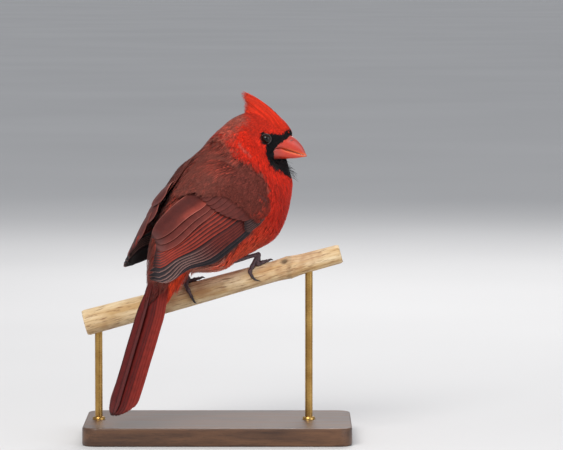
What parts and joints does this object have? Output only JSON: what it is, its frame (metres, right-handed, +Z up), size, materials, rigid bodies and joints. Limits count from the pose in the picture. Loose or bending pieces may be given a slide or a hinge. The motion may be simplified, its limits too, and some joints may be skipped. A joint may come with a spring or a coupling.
{
  "type": "northern cardinal bird model",
  "caption": "Life-size male northern cardinal with a raised crest, gripping a cut dry stem held by two rods on a flat wooden base",
  "frame": {"origin": "centre of the underside of the stand's base", "axes": "+Z up; the bird's beak and the high end of the stem point to +X; the camera's side, where the bird's right wing shows, is -Y"},
  "size_m": [0.1783, 0.1052, 0.2287],
  "materials": {
    "coat": "soft matt feathers, bright to brownish red",
    "crest": "soft matt feathers, orange-red",
    "wing": "close smooth feathers, dull red with grey edges",
    "tail": "long smooth feathers, dark red",
    "bill": "smooth horn, coral orange, slightly shiny",
    "eye": "wet, almost black",
    "leg": "small scales, dark grey-brown",
    "stem": "dry smooth stem, straw coloured with brown streaks",
    "base": "dark stained wood, satin",
    "rod": "plain turned brass, satin"
  },
  "bodies": {
    "root": {"torso": "coat", "neck": "coat", "head": "crest", "bill_upper": "bill", "bill_lower": "bill", "eye_right": "eye", "eye_left": "eye", "wing_right": "wing", "wing_left": "wing", "tail": "tail", "leg_right": "leg", "leg_left": "leg", "foot_right": "leg", "foot_left": "leg", "perch": "stem", "stand_base": "base", "stand_rod_left": "rod", "stand_rod_right": "rod"}
  },
  "joints": []
}
